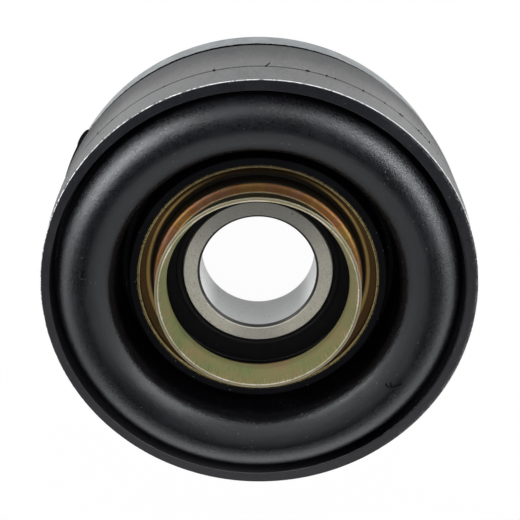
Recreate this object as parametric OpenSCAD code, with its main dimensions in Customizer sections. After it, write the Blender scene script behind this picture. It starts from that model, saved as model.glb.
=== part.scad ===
// Driveshaft centre bearing.
// A sealed ball bearing sits in a plated sleeve, hung in a moulded rubber cushion inside a steel ring.
// The part lies on its rear face at z = 0, and the shaft's axis is Z. Sizes are in millimetres.

/* [Bearing] */
// Bore of the inner ring, where the shaft is pressed in
bore_d = 30; // [26:0.5:34]
// Outer diameter of the bearing
bearing_od = 62; // [58:0.5:66]
// Width of both bearing rings
bearing_w = 16; // [15:0.5:20]
// Distance of the bearing's middle plane in front of the case's
bearing_offset = 0.95; // [0:0.05:2]
// Chamfer on the ends of the bore
bore_chamfer = 1; // [0.4:0.1:1.5]
// Chamfer on the outer edges of the bearing
corner_chamfer = 0.8; // [0.4:0.1:1.2]

/* [Balls and races] */
// Diameter of a ball
ball_d = 9.525; // [8.5:0.005:10.3]
// Number of balls
ball_count = 9; // [7:1:10]
// Depth of the raceway grooves
race_depth = 1.9; // [1.4:0.1:2.4]
// Radial play between a ball and each raceway
race_play = 0.06; // [0.02:0.01:0.1]
// How much larger a raceway's section radius is than a ball's
race_relief = 0.2; // [0.1:0.05:0.4]

/* [Cage] */
// Sheet thickness of the two cage halves
cage_t = 0.8; // [0.5:0.1:1.2]
// Radial width of the cage ribbon
cage_w = 3.2; // [2.6:0.1:3.6]
// Gap between a ball and its pocket
pocket_play = 0.2; // [0.1:0.05:0.3]
// Diameter of a rivet's shank
rivet_d = 1.4; // [1:0.1:1.8]
// Diameter of a rivet's head
rivet_head_d = 2.4; // [2:0.1:2.6]
// Height of a rivet's head
rivet_head_h = 0.5; // [0.3:0.1:0.8]

/* [Seals] */
// Thickness of a seal disc
seal_t = 1; // [0.6:0.1:1.2]
// Depth of a seal below the faces of the rings
seal_recess = 0.4; // [0.2:0.1:0.8]
// Step from the outer ring's shoulder out to a seal's seat
seat_step = 1.1; // [0.6:0.1:1.6]
// Step from the inner ring's shoulder down to the land under a seal lip
land_step = 0.95; // [0.5:0.05:1.2]
// Radial gap between a seal lip and its land
lip_gap = 0.2; // [0.1:0.05:0.3]
// Height of the round ridges moulded on a seal
ridge_h = 0.2; // [0.1:0.05:0.3]
// Width of a ridge on a seal
ridge_w = 0.8; // [0.5:0.1:1.2]

/* [Sleeve and shields] */
// Wall of the inner sleeve
sleeve_t = 1; // [0.8:0.1:1.6]
// How far the sleeve runs past each face of the bearing
sleeve_reach = 4.3; // [3.8:0.1:5]
// Sheet thickness of the shields
shield_t = 1; // [0.7:0.1:1.2]
// Height of a shield's outer rim above the bearing face
rim_h = 5.3; // [5:0.1:6.2]
// Length of the straight wall below the rim that grips the sleeve
rim_grip = 1.9; // [1.4:0.1:2.4]
// Radial run from the sleeve's bore in to the floor of the trough
trough_run = 2.8; // [2.4:0.1:3.2]
// Width of the floor of the trough
trough_w = 1.6; // [1.4:0.1:2]
// Height of the flat shoulder above the bearing face
shoulder_h = 6.5; // [5.5:0.1:7.5]
// Width of the flat shoulder
shoulder_w = 2.5; // [2.2:0.1:3]
// Height above the bearing face at which the neck starts to flare
neck_h = 9.3; // [8.5:0.1:10.5]
// How much the collar flares in radius from neck to mouth
collar_flare = 1.55; // [1:0.1:2.5]
// Gap between the plane of the rear face and the rear shield's mouth
mouth_gap = 0.4; // [0.2:0.1:2]
// Radius of the bends in a shield, at mid sheet
bend_r = 0.8; // [0.7:0.05:0.9]

/* [Outer ring] */
// Diameter over the rubber skin
outer_d = 109.5; // [104:0.5:116]
// Length of the case from rear face to front rim
case_len = 44.5; // [42:0.5:50]
// Sheet thickness of the outer ring
ring_t = 1.2; // [0.8:0.1:1.6]
// Length of the bare lip at the rear
lip_len = 8.1; // [6:0.1:10]
// Length of the joggle from the lip down to the covered band
joggle_len = 1.5; // [1:0.1:2]

/* [Cushion] */
// Thickness of the rubber skin outside the outer ring
skin_t = 1.3; // [1:0.1:1.6]
// How far the skin stands proud of the bare lip
lip_step = 0.62; // [0.3:0.01:0.8]
// How far the front band of the skin draws in from the mould's parting line to the front rim
rim_draft = 0.5; // [0.1:0.05:0.8]
// Length of the front band, from the front rim to the parting line
parting_len = 10.4; // [8:0.1:20]
// Gap from the joggle to the rear edge of the skin
skin_gap = 2.4; // [1.9:0.1:3]
// Thickness of the rubber lining inside the outer ring, at the front
lining_t = 0.75; // [0.5:0.05:1.2]
// Thickness of the rubber lining inside the outer ring, at the rear
rear_lining_t = 1.35; // [1:0.05:2]
// Rubber in front of the outer ring's front edge
rim_cover = 2; // [1:0.1:3]
// Width of the groove between the front rim and the roll
groove_w = 0.85; // [0.6:0.05:1.5]
// Depth of that groove below the front rim
groove_depth = 10; // [8:0.5:12]
// How far the crest of the roll stands in front of the rim
crest_proud = 2.7; // [1:0.1:4]
// Wall of the rubber roll and its legs
wall_t = 4.2; // [3.2:0.1:4.6]
// Width of the valley between the roll and the collar
valley_w = 2.85; // [2.4:0.05:3.4]
// Depth of the valley below the collar's front face
valley_depth = 8.2; // [6:0.1:10]
// Thickness of the rubber collar round the front of the sleeve
collar_t = 0.8; // [0.6:0.1:1.2]
// Thickness of the rubber collar round the rear of the sleeve
rear_collar_t = 1.6; // [1.2:0.1:2.4]
// Rubber over each end of the sleeve
end_cover = 0.7; // [0.4:0.1:0.9]
// Rounding of the rubber's edges
edge_r = 0.35; // [0.2:0.05:0.4]
// Rounding where the legs turn into the linings
web_r = 2; // [1:0.1:2.5]

/* [Moulding tab] */
// How far the tab stands out from the lip
tab_h = 1.2; // [0.8:0.1:1.6]
// Radius of the tab's rounded back
tab_r = 4; // [3:0.1:6]
// Length of the tab along the lip
tab_len = 8.6; // [6:0.1:9.5]
// Length of the tab's flat root, between its rounded part and the skin
tab_root = 1.5; // [1:0.1:1.6]
// Width of that root
root_w = 4.8; // [3:0.1:5]
// Position of the tab round the axis, in degrees
tab_angle = 149; // [0:1:359]

/* [Hidden] */
bore_r = bore_d / 2;
bearing_r = bearing_od / 2;
pitch_r = (bore_r + bearing_r) / 2;
ball_r = ball_d / 2;
mid_z = case_len / 2 + bearing_offset;
half_w = bearing_w / 2;

// Raceways and the shoulders beside them
inner_race_r = pitch_r - ball_r - race_play;
outer_race_r = pitch_r + ball_r + race_play;
race_section_r = ball_r + race_relief;
inner_shoulder_r = inner_race_r + race_depth;
outer_shoulder_r = outer_race_r - race_depth;

// Seats of the seals in the rings
land_r = inner_shoulder_r - land_step;
seat_r = outer_shoulder_r + seat_step;
land_w = seal_recess + seal_t + ridge_h;
seat_w = seal_recess + seal_t;
lip_r = land_r + lip_gap;

// Cage pockets
pocket_r = ball_r + pocket_play;
cage_reach = pocket_r + cage_t;
pitch_angle = 360 / ball_count;

// Sleeve
sleeve_r = bearing_r + sleeve_t;
sleeve_half = half_w + sleeve_reach;

// Shield, at mid sheet, with heights above the bearing face
shield_half_t = shield_t / 2;
rim_mid_r = bearing_r - shield_half_t;
trough_mid_r = bearing_r - trough_run - shield_half_t * tan(22.5);
skirt_r = bearing_r - trough_run - trough_w;
skirt_mid_r = skirt_r - shield_half_t;
neck_mid_r = skirt_r - shoulder_w - shield_half_t;
mouth_h = mid_z - mouth_gap - half_w;

// Outer ring
outer_r = outer_d / 2;
band_r = outer_r - skin_t;
band_bore_r = band_r - ring_t;
joggle_z = lip_len + joggle_len;
skin_z = joggle_z + skin_gap;
band_z = case_len - rim_cover;
ring_lip_r = outer_r - lip_step;
rim_r = outer_r - rim_draft;
parting_z = case_len - parting_len;

// Cushion, front side
rim_bore_r = band_bore_r - lining_t;
groove_z = case_len - groove_depth;
roll_outer_r = rim_bore_r - groove_w;
collar_r = sleeve_r + collar_t;
collar_z = mid_z + sleeve_half + end_cover;
roll_inner_r = collar_r + valley_w;
valley_z = collar_z - valley_depth;
roll_r = (roll_outer_r - roll_inner_r) / 2;
roll_mid_r = (roll_outer_r + roll_inner_r) / 2;
roll_z = case_len + crest_proud - roll_r;

// Cushion, rear side: the legs keep the wall's thickness as they turn into the linings at 45 degrees
hollow_r = roll_r - wall_t;
hollow_outer_r = roll_mid_r + hollow_r;
hollow_inner_r = roll_mid_r - hollow_r;
rear_lining_r = band_bore_r - rear_lining_t;
rear_collar_r = sleeve_r + rear_collar_t;
rear_collar_z = mid_z - sleeve_half - end_cover;
groove_mid_r = rim_bore_r - groove_w / 2;
valley_mid_r = collar_r + valley_w / 2;
outer_web_z = groove_z + groove_mid_r - hollow_outer_r - wall_t * sqrt(2);
inner_web_z = valley_z + hollow_inner_r - valley_mid_r - wall_t * sqrt(2);
valley_round = 0.4 * valley_w;
groove_round = 0.35 * groove_w;

// Moulding tab
tab_z = skin_z - tab_len;

// Facets per bend, and per turn in a preview
bend_steps = 6;
$fn = 96;
// Overlap that keeps cuts clean
eps = 1;

steel = [0.72, 0.73, 0.74];
bare_steel = [0.62, 0.65, 0.66];
plated = [0.70, 0.60, 0.38];
rubber = [0.10, 0.10, 0.11];
seal_rubber = [0.06, 0.06, 0.06];

// Plane geometry for the sections. A corner is [radius, height, rounding].
function unit(v) = v / norm(v);
function flat(corner) = [corner[0], corner[1]];
function left_of(v) = [-v[1], v[0]];

function fillet(a, b, c, f) =
    let (
        u = unit(a - b),
        v = unit(c - b),
        half = acos(u * v) / 2,
        centre = b + unit(u + v) * f / sin(half),
        first = b + u * f / tan(half) - centre,
        last = b + v * f / tan(half) - centre,
        start = atan2(first[1], first[0]),
        sweep = (atan2(last[1], last[0]) - start + 540) % 360 - 180
    )
    [for (i = [0:bend_steps]) centre + f * [cos(start + sweep * i / bend_steps), sin(start + sweep * i / bend_steps)]];

function round_corner(a, b, c) = b[2] > 0 ? fillet(flat(a), flat(b), flat(c), b[2]) : [flat(b)];

function closed_outline(corners) =
    let (n = len(corners))
    [for (i = [0:n - 1]) each round_corner(corners[(i + n - 1) % n], corners[i], corners[(i + 1) % n])];

function open_path(corners) =
    let (last = len(corners) - 1)
    concat(
        [flat(corners[0])],
        [for (i = [1:last - 1]) each round_corner(corners[i - 1], corners[i], corners[i + 1])],
        [flat(corners[last])]
    );

function sheet_side(path, off) =
    let (last = len(path) - 1)
    [for (i = [0:last])
        let (
            before = left_of(unit(path[max(i, 1)] - path[max(i, 1) - 1])),
            after = left_of(unit(path[min(i, last - 1) + 1] - path[min(i, last - 1)])),
            mitre = unit(before + after)
        )
        path[i] + mitre * off / (mitre * before)];

function sheet_outline(path, t) =
    let (back = sheet_side(path, -t / 2), last = len(path) - 1)
    concat(sheet_side(path, t / 2), [for (i = [last:-1:0]) back[i]]);

// A ring with the given closed section
module turned(corners) {
    rotate_extrude() polygon(closed_outline(corners));
}

// Puts a piece that is drawn upwards from the bearing's middle plane on the front or the rear
module at_bearing(front) {
    translate([0, 0, mid_z]) mirror([0, 0, front ? 0 : 1]) children();
}

// Drawn band: a bare lip at the rear, then a joggle down to the band that the rubber covers
module outer_ring() {
    color(bare_steel) turned([
        [ring_lip_r - ring_t, 0, 0],
        [ring_lip_r, 0, 0],
        [ring_lip_r, lip_len, 0],
        [band_r, joggle_z, 0],
        [band_r, band_z, 0],
        [band_bore_r, band_z, 0],
        [band_bore_r, joggle_z, 0],
        [ring_lip_r - ring_t, lip_len, 0]
    ]);
}

// Outer part of the cushion: skin, rim, lining, and the roll's outer leg up to the roll's mid height
module outer_leg_section() {
    polygon(closed_outline([
        [band_r, skin_z, 0],
        [outer_r, skin_z, 0],
        [outer_r, parting_z, 0],
        [rim_r, case_len, 0],
        [rim_bore_r, case_len, edge_r],
        [rim_bore_r, groove_z, groove_round],
        [roll_outer_r, groove_z, groove_round],
        [roll_outer_r, roll_z, 0],
        [hollow_outer_r, roll_z, 0],
        [hollow_outer_r, outer_web_z, web_r],
        [rear_lining_r, outer_web_z - rear_lining_r + hollow_outer_r, web_r],
        [rear_lining_r, skin_z, edge_r],
        [band_bore_r, skin_z, 0],
        [band_bore_r, band_z, 0],
        [band_r, band_z, 0]
    ]));
}

// Inner part of the cushion: the roll's inner leg, the valley and the collar bonded to the sleeve
module inner_leg_section() {
    sleeve_front = mid_z + sleeve_half;
    sleeve_rear = mid_z - sleeve_half;
    polygon(closed_outline([
        [hollow_inner_r, roll_z, 0],
        [roll_inner_r, roll_z, 0],
        [roll_inner_r, valley_z, valley_round],
        [collar_r, valley_z, valley_round],
        [collar_r, collar_z, edge_r],
        [bearing_r, collar_z, 0],
        [bearing_r, sleeve_front, 0],
        [sleeve_r, sleeve_front, 0],
        [sleeve_r, sleeve_rear, 0],
        [bearing_r, sleeve_rear, 0],
        [bearing_r, rear_collar_z, 0],
        [rear_collar_r, rear_collar_z, edge_r],
        [rear_collar_r, inner_web_z - hollow_inner_r + rear_collar_r, web_r],
        [hollow_inner_r, inner_web_z, web_r]
    ]));
}

// Crown of the roll, a half ring in section
module crown_section() {
    translate([roll_mid_r, roll_z]) intersection() {
        difference() {
            circle(roll_r);
            circle(hollow_r);
        }
        translate([-roll_r - eps, 0]) square([2 * (roll_r + eps), roll_r + eps]);
    }
}

// Rounded tab that runs from the rear end of the skin back over the lip
module moulding_tab() {
    back_len = tab_len - tab_root;
    root_low = (band_r + ring_lip_r) / 2;
    root_high = ring_lip_r + lip_step / 2;
    root_z = joggle_z + 0.1 * tab_root;
    rotate([0, 0, tab_angle]) union() {
        difference() {
            translate([ring_lip_r + tab_h - tab_r, 0, tab_z]) cylinder(r = tab_r, h = back_len);
            translate([0, 0, tab_z - eps]) cylinder(r = ring_lip_r, h = back_len + 2 * eps);
        }
        translate([root_low, -root_w / 2, root_z])
            cube([root_high - root_low, root_w, skin_z - root_z + 0.5 * eps]);
    }
}

module rubber_cushion() {
    color(rubber) union() {
        rotate_extrude() union() {
            outer_leg_section();
            crown_section();
            inner_leg_section();
        }
        moulding_tab();
    }
}

module inner_sleeve() {
    color(plated) translate([0, 0, mid_z]) difference() {
        cylinder(r = sleeve_r, h = 2 * sleeve_half, center = true);
        cylinder(r = bearing_r, h = 2 * (sleeve_half + eps), center = true);
    }
}

// Stamped shield: rim in the sleeve, trough on the bearing face, skirt, flat shoulder, neck, flared collar
module shield() {
    path = open_path([
        [rim_mid_r, rim_h, 0],
        [rim_mid_r, rim_h - rim_grip, bend_r],
        [trough_mid_r, shield_half_t, bend_r],
        [skirt_mid_r, shield_half_t, bend_r],
        [skirt_mid_r, shoulder_h - shield_half_t, bend_r],
        [neck_mid_r, shoulder_h - shield_half_t, bend_r],
        [neck_mid_r, neck_h, bend_r],
        [neck_mid_r + collar_flare, mouth_h, 0]
    ]);
    translate([0, 0, half_w]) rotate_extrude() polygon(sheet_outline(path, shield_t));
}

module front_shield() {
    color(plated) at_bearing(true) shield();
}

module rear_shield() {
    color(plated) at_bearing(false) shield();
}

// Half of a bearing ring's outline, joined to its mirror image below the bearing's middle plane
function both_halves(half) =
    concat(half, [for (i = [len(half) - 1:-1:0]) [half[i][0], -half[i][1]]]);

module bearing_outer_ring() {
    color(steel) translate([0, 0, mid_z]) rotate_extrude() difference() {
        polygon(both_halves([
            [bearing_r, half_w - corner_chamfer],
            [bearing_r - corner_chamfer, half_w],
            [seat_r, half_w],
            [seat_r, half_w - seat_w],
            [outer_shoulder_r, half_w - seat_w]
        ]));
        translate([outer_race_r - race_section_r, 0]) circle(race_section_r);
    }
}

module bearing_inner_ring() {
    color(steel) translate([0, 0, mid_z]) rotate_extrude() difference() {
        polygon(both_halves([
            [bore_r, half_w - bore_chamfer],
            [bore_r + bore_chamfer, half_w],
            [land_r, half_w],
            [land_r, half_w - land_w],
            [inner_shoulder_r, half_w - land_w]
        ]));
        translate([inner_race_r + race_section_r, 0]) circle(race_section_r);
    }
}

// Flat seal disc with a ridge inside its outer edge and one beside the lip
module seal() {
    top = half_w - seal_recess;
    module ridge(r) {
        translate([r, top - eps]) square([ridge_w, eps + ridge_h]);
    }
    rotate_extrude() union() {
        translate([lip_r, top - seal_t]) square([seat_r - lip_r, seal_t]);
        ridge(seat_r - 2 * ridge_w);
        ridge(lip_r + ridge_w);
    }
}

module front_seal() {
    color(seal_rubber) at_bearing(true) seal();
}

module rear_seal() {
    color(seal_rubber) at_bearing(false) seal();
}

module at_each_ball(shift = 0) {
    for (i = [0:ball_count - 1]) rotate([0, 0, (i + shift) * pitch_angle]) children();
}

module ribbon_band(h) {
    difference() {
        cylinder(r = pitch_r + cage_w / 2, h = h);
        translate([0, 0, -eps]) cylinder(r = pitch_r - cage_w / 2, h = h + 2 * eps);
    }
}

// A round bar along the radius through a ball's centre, which presses a pocket of that radius
module pocket_bar(r) {
    translate([pitch_r, 0, 0]) rotate([0, 90, 0]) cylinder(r = r, h = cage_w + 2 * eps, center = true);
}

// Pressed half of the ribbon cage: flat lands between round pockets, with a rivet hole in each land
module cage_half() {
    intersection() {
        ribbon_band(cage_reach + eps);
        difference() {
            union() {
                translate([0, 0, -eps]) cylinder(r = pitch_r + cage_w, h = cage_t + eps);
                at_each_ball() pocket_bar(cage_reach);
            }
            at_each_ball() pocket_bar(pocket_r);
            at_each_ball(0.5) translate([pitch_r, 0, 0])
                cylinder(d = rivet_d, h = 2 * (cage_t + eps), center = true);
        }
    }
}

module cage_front() {
    color(steel) at_bearing(true) cage_half();
}

module cage_rear() {
    color(steel) at_bearing(false) cage_half();
}

module rivet() {
    cylinder(d = rivet_d, h = 2 * cage_t, center = true);
    for (side = [-1, 1])
        translate([0, 0, side * (cage_t + rivet_head_h / 2)])
            cylinder(d = rivet_head_d, h = rivet_head_h, center = true);
}

module cage_rivets() {
    color(steel) translate([0, 0, mid_z]) at_each_ball(0.5) translate([pitch_r, 0, 0]) rivet();
}

module ball(i) {
    color(steel) translate([0, 0, mid_z])
        rotate([0, 0, (i - 1) * pitch_angle]) translate([pitch_r, 0, 0]) sphere(r = ball_r);
}

outer_ring();
rubber_cushion();
inner_sleeve();
front_shield();
rear_shield();
bearing_outer_ring();
bearing_inner_ring();
front_seal();
rear_seal();
cage_front();
cage_rear();
cage_rivets();
for (i = [1:ball_count]) ball(i);
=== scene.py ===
# %% [markdown]
# # A driveshaft centre bearing
# The packed solids give the sizes and the bodies that move. This lesson gives them their looks.
# The solids are loaded first and never changed: a piece that needs a finer surface is built again
# on top of its solid, in the same place and in metres, and the solid is then hidden.

# %% Load the packed part
import math
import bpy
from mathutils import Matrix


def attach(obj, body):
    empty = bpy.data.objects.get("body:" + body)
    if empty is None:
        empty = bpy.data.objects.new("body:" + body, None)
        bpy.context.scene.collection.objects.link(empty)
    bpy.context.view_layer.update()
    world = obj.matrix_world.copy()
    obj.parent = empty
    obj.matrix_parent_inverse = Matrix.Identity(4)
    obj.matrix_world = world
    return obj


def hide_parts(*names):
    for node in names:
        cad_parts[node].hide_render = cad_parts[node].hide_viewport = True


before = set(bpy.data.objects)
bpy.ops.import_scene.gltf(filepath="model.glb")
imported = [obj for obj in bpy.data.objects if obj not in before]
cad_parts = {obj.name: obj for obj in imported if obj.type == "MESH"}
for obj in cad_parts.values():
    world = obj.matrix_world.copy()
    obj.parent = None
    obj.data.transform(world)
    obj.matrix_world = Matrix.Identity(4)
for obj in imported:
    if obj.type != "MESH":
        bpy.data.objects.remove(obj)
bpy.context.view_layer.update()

from types import SimpleNamespace

import bmesh
import bpy
from mathutils import Matrix, Vector

MM = 0.001

# %% [markdown]
# ## Camera
# The picture looks almost straight at the front face, from a little above. The bearing lies on its rear
# face here, so "above" is +Y and the camera hangs over the part. A long lens keeps the circles calm.

# %% Place the camera
CAMERA_AT = (0.48 * MM, 135.7 * MM, 353.8 * MM)
CAMERA_TILT = math.radians(-22.3)
LENS_MM = 94.33

camera = bpy.data.objects.new("camera", bpy.data.cameras.new("camera"))
bpy.context.scene.collection.objects.link(camera)
camera.location = CAMERA_AT
camera.rotation_euler = (CAMERA_TILT, 0, 0)
camera.data.sensor_width = 36
camera.data.lens = LENS_MM
bpy.context.scene.camera = camera
bpy.context.scene.view_settings.view_transform = "Standard"
print("camera is", round(camera.location.length / MM), "mm from the rear face")

# %% [markdown]
# ## A short way to write nodes
# Shader and geometry nodes are easier to read as sums than as lists of links. Wire stands for one
# output socket and knows the signs of arithmetic; Bench stands for a node tree and has one method
# that puts any node in it, with its settings first and its sockets after.

# %% Wires and benches
class Wire:
    """An output socket that can stand in a sum."""

    def __init__(self, bench, socket):
        self.bench = bench
        self.socket = socket

    def other(self, out):
        return Wire(self.bench, find_socket(self.socket.node.outputs, out))

    def __add__(self, value):
        return self.bench.maths("ADD", self, value)

    def __sub__(self, value):
        return self.bench.maths("SUBTRACT", self, value)

    def __rsub__(self, value):
        return self.bench.maths("SUBTRACT", value, self)

    def __mul__(self, value):
        return self.bench.maths("MULTIPLY", self, value)

    def __truediv__(self, value):
        return self.bench.maths("DIVIDE", self, value)

    def __rtruediv__(self, value):
        return self.bench.maths("DIVIDE", value, self)

    __radd__ = __add__
    __rmul__ = __mul__


def find_socket(sockets, key):
    if isinstance(key, int):
        return sockets[key]
    for socket in sockets:
        if socket.enabled and socket.name == key:
            return socket
    raise KeyError(key)


class Bench:
    """A node tree with one way of putting a node in it."""

    def __init__(self, tree):
        self.tree = tree

    def node(self, kind, settings=None, sockets=None, out=0):
        made = self.tree.nodes.new(kind)
        for name, value in (settings or {}).items():
            if name == "stops":
                self.set_stops(made.color_ramp, value)
            else:
                setattr(made, name, value)
        for key, value in (sockets or {}).items():
            socket = find_socket(made.inputs, key)
            if isinstance(value, Wire):
                self.tree.links.new(value.socket, socket)
            else:
                socket.default_value = value
        return made if out is None else Wire(self, find_socket(made.outputs, out))

    def set_stops(self, ramp, stops):
        while len(ramp.elements) < len(stops):
            ramp.elements.new(1.0)
        for element, (position, colour) in zip(ramp.elements, stops):
            element.position = position
            element.color = (*colour, 1)

    def maths(self, operation, *values):
        return self.node("ShaderNodeMath", {"operation": operation}, dict(enumerate(values)))

    def split(self, vector):
        x = self.node("ShaderNodeSeparateXYZ", sockets={0: vector}, out="X")
        return x, x.other("Y"), x.other("Z")

    def join(self, x, y, z):
        return self.node("ShaderNodeCombineXYZ", sockets={0: x, 1: y, 2: z})

    def rise(self, value, low, high):
        """0 below low and 1 above high, with a soft step between them."""
        settings = {"interpolation_type": "SMOOTHSTEP"}
        return self.node("ShaderNodeMapRange", settings, {"Value": value, 1: low, 2: high, 3: 0.0, 4: 1.0})

    def noise(self, vector, scale, detail=2.0, roughness=0.5):
        sockets = {"Vector": vector, "Scale": scale, "Detail": detail, "Roughness": roughness}
        return self.node("ShaderNodeTexNoise", {"noise_dimensions": "3D"}, sockets)

    def near(self, value, middle, full, none):
        """1 while a value is within full of its middle, 0 once it is past none."""
        return 1 - self.rise(self.maths("ABSOLUTE", value - middle), full, none)

    def blend(self, factor, first, second):
        sockets = {"Factor": factor, "A": first, "B": second}
        return self.node("ShaderNodeMix", {"data_type": "RGBA"}, sockets, "Result")


print("nodes can now be written as sums")

# %% [markdown]
# ## Turned sections
# Nearly every piece here is round: pressed, moulded or turned about one axis. So each is drawn as a
# section, a closed outline in radius and height, and spun. The corners of an outline are given with
# the round that the real corner has, and a short straight is kept beside every round, so that smooth
# shading stays on the round and leaves the flats flat.

# %% Outlines with rounded corners
ARC_STEP = math.radians(11)
# rounds up to this bend, in mm, get fewer points
SMALL_BEND = 0.6
SMALL_STEP = math.radians(30)
LONG_STEP = 3.0
SUPPORT = 0.05


def corner_arc(before, here, after, bend):
    """The points of one corner, from the way in to the way out."""
    way_in = (before - here).normalized()
    way_out = (after - here).normalized()
    opening = way_in.angle(way_out)
    if bend == 0 or math.pi - opening < 0.01:
        return [here]
    reach = bend / math.tan(opening / 2)
    centre = here + (way_in + way_out).normalized() * (bend / math.sin(opening / 2))
    first = here + way_in * reach - centre
    last = here + way_out * reach - centre
    turn = first.angle_signed(last)
    step = ARC_STEP if bend > SMALL_BEND else SMALL_STEP
    steps = max(2, math.ceil(abs(turn) / step))
    start = math.atan2(first.y, first.x)
    # angle_signed counts clockwise, atan2 the other way
    angles = [start - turn * k / steps for k in range(steps + 1)]
    return [centre + Vector((math.cos(a), math.sin(a))) * bend for a in angles]


def straight_points(first, last):
    """What goes between two corners: a support by each and even steps on a long straight."""
    length = (last - first).length
    if length < 4 * SUPPORT:
        return []
    steps = max(1, math.ceil(length / LONG_STEP))
    shares = [k / steps for k in range(1, steps)]
    shares = [SUPPORT / length, *shares, 1 - SUPPORT / length]
    return [first.lerp(last, share) for share in shares]


def rounded_outline(corners):
    """Corners are (radius, height, round) in mm; the result is a closed outline in mm."""
    spots = [Vector(corner[:2]) for corner in corners]
    arcs = []
    for i, corner in enumerate(corners):
        after = spots[(i + 1) % len(spots)]
        arcs.append(corner_arc(spots[i - 1], spots[i], after, corner[2]))
    points = []
    for i, arc in enumerate(arcs):
        points += arc
        points += straight_points(arc[-1], arcs[(i + 1) % len(arcs)][0])
    kept = []
    for point in points:
        if not kept or (point - kept[-1]).length > 1e-4:
            kept.append(point)
    return kept


def sheet_outline(path, thickness, bend, edge):
    """The outline of a pressed sheet that follows a path of mid-sheet corners."""
    spots = [Vector(spot) for spot in path]
    sides = {1: [], -1: []}
    last = len(spots) - 1
    for i, spot in enumerate(spots):
        way_in = (spots[max(i, 1)] - spots[max(i, 1) - 1]).normalized()
        way_out = (spots[min(i, last - 1) + 1] - spots[min(i, last - 1)]).normalized()
        left_in = Vector((-way_in.y, way_in.x))
        left_out = Vector((-way_out.y, way_out.x))
        mitre = (left_in + left_out).normalized()
        turn = way_in.x * way_out.y - way_in.y * way_out.x
        for side in sides:
            moved = spot + mitre * (side * thickness / 2 / mitre.dot(left_in))
            inside = turn * side > 0
            bend_here = edge if i in (0, last) else bend + thickness / 2 * (-1 if inside else 1)
            sides[side].append((moved.x, moved.y, bend_here))
    return rounded_outline(sides[1] + sides[-1][::-1])


print("outlines step every", round(math.degrees(ARC_STEP)), "degrees of a round")

# %% [markdown]
# ## The lathe
# One Geometry Nodes tree spins any outline. It lays out a flat grid, one way for the points of the
# section and the other for the turn, and moves each grid point to its section point, turned by its
# angle. Doubles along the seams are merged. A little seeded noise along the normal makes moulded
# surfaces wander the way rubber does, and is left at zero for machined ones.

# %% Build the lathe tree
TURN_INPUTS = [
    ("Section", "NodeSocketGeometry"),
    ("Points in Section", "NodeSocketInt"),
    ("Steps Round", "NodeSocketInt"),
    ("Unevenness", "NodeSocketFloat"),
    ("Patch Size", "NodeSocketFloat"),
    ("Seed", "NodeSocketFloat"),
    ("Finish", "NodeSocketMaterial"),
]


def new_tree(title, inputs):
    tree = bpy.data.node_groups.new(title, "GeometryNodeTree")
    for name, kind in inputs:
        tree.interface.new_socket(name, in_out="INPUT", socket_type=kind)
    tree.interface.new_socket("Result", in_out="OUTPUT", socket_type="NodeSocketGeometry")
    return Bench(tree), Bench(tree).node("NodeGroupInput", out=0)


def end_tree(bench, geometry, finish):
    whole = bench.node("GeometryNodeRealizeInstances", sockets={"Geometry": geometry})
    painted = bench.node("GeometryNodeSetMaterial", sockets={"Geometry": whole, "Material": finish})
    bench.node("NodeGroupOutput", sockets={"Result": painted}, out=None)
    return bench.tree


def uneven(bench, geometry, amount, patch, seed):
    """Moves a surface along its normals by seeded noise."""
    where = bench.node("GeometryNodeInputPosition")
    bumps = bench.node("ShaderNodeTexNoise", {"noise_dimensions": "4D"},
                       {"Vector": where, "W": seed, "Scale": 1 / patch, "Detail": 2.0})
    out = bench.node("GeometryNodeInputNormal")
    reach = (bumps - 0.5) * amount * 2
    move = bench.node("ShaderNodeVectorMath", {"operation": "SCALE"}, {0: out, "Scale": reach})
    return bench.node("GeometryNodeSetPosition", sockets={"Geometry": geometry, "Offset": move})


def build_lathe():
    bench, given = new_tree("lathe", TURN_INPUTS)
    points = given.other("Points in Section")
    steps = given.other("Steps Round")
    sockets = {"Size X": 1.0, "Size Y": 1.0, "Vertices X": points + 1, "Vertices Y": steps + 1}
    grid = bench.node("GeometryNodeMeshGrid", sockets=sockets, out="Mesh")
    along, across, _ = bench.split(bench.node("GeometryNodeInputPosition"))
    number = bench.maths("ROUND", (along + 0.5) * points)
    number = bench.maths("MODULO", number, points)
    turn = bench.maths("ROUND", (across + 0.5) * steps) / steps * (2 * math.pi)
    where = bench.node("GeometryNodeInputPosition")
    spot = bench.node("GeometryNodeSampleIndex", {"data_type": "FLOAT_VECTOR", "domain": "POINT"},
                      {"Geometry": given.other("Section"), "Value": where, "Index": number})
    radius, _, height = bench.split(spot)
    x = radius * bench.maths("COSINE", turn)
    y = radius * bench.maths("SINE", turn)
    on_circle = bench.join(x, y, height)
    spun = bench.node("GeometryNodeSetPosition", sockets={"Geometry": grid, "Position": on_circle})
    merged = bench.node("GeometryNodeMergeByDistance", sockets={"Geometry": spun, "Distance": 1e-7})
    moved = uneven(bench, merged, given.other("Unevenness"), given.other("Patch Size"), given.other("Seed"))
    smooth = bench.node("GeometryNodeSetShadeSmooth", sockets={"Geometry": moved, "Shade Smooth": True})
    return end_tree(bench, smooth, given.other("Finish"))


lathe = build_lathe()
print("the lathe has", len(lathe.nodes), "nodes")


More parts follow.
